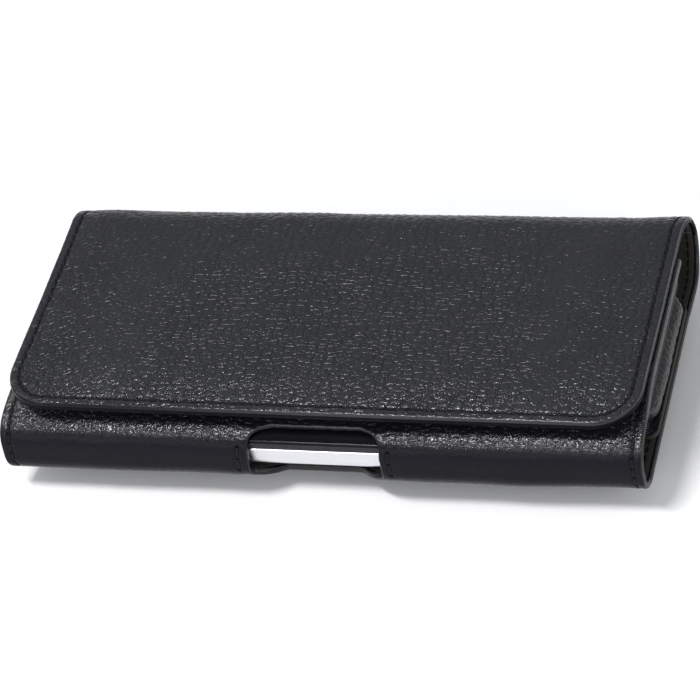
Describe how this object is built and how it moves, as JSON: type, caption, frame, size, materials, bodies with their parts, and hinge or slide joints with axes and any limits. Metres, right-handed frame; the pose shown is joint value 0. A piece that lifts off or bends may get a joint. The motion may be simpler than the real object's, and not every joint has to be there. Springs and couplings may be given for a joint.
{
  "type": "leather belt pouch",
  "caption": "Horizontal pebbled-leather belt pouch with a fold-over flap, side gussets, a finger notch in its bottom fold and a handset inside.",
  "frame": {"origin": "centre of the bounding box in X and Y, at the height of the belt loop's outer face, on which the pouch rests", "axes": "+X along the pouch, +Y from the bottom fold to the spine, +Z out through the flap"},
  "size_m": [0.137, 0.0658, 0.0255],
  "materials": {
    "leather_grain": "pebbled grain, semi-gloss, painted cut edges",
    "lining_cloth": "matt brushed cloth lining",
    "stiffener_board": "pressed fibre board",
    "keeper_steel": "zinc-plated sheet steel",
    "magnet_plating": "nickel-plated disc magnet",
    "thread": "waxed black polyester thread",
    "handset_metal": "fine bead-blasted silver",
    "handset_plastic": "gloss black",
    "handset_glass": "gloss black cover glass"
  },
  "bodies": {
    "pocket": {"pocket_leather": "leather_grain", "pocket_lining": "lining_cloth", "back_board": "stiffener_board", "front_board": "stiffener_board", "keeper_plate_left": "keeper_steel", "keeper_plate_right": "keeper_steel", "gusset_left": "leather_grain", "gusset_right": "leather_grain", "belt_loop": "leather_grain", "side_thread_left": "thread", "side_thread_right": "thread", "notch_thread": "thread", "belt_loop_thread": "thread"},
    "spine": {"spine_leather": "leather_grain", "spine_lining": "lining_cloth"},
    "flap": {"flap_leather": "leather_grain", "flap_lining": "lining_cloth", "flap_board": "stiffener_board", "flap_magnet_left": "magnet_plating", "flap_magnet_right": "magnet_plating", "flap_thread": "thread"},
    "handset": {"handset_shell": "handset_metal", "handset_bezel": "handset_plastic", "handset_glass": "handset_glass"}
  },
  "joints": [
    {"name": "spine_bend", "type": "hinge", "parent": "pocket", "child": "spine", "pos_m": [0, 0.03012, 0.00915], "axis": [-1, 0, 0], "range_deg": [0, 90]},
    {"name": "flap_bend", "type": "hinge", "parent": "spine", "child": "flap", "pos_m": [0, 0.03012, 0.02245], "axis": [-1, 0, 0], "range_deg": [0, 90]},
    {"name": "handset_slide", "type": "slide", "parent": "pocket", "child": "handset", "axis": [0, 1, 0], "range_m": [0, 0.0015]}
  ],
  "couplings": [
    {"joint": "flap_bend", "follows": "spine_bend", "ratio": 1}
  ]
}
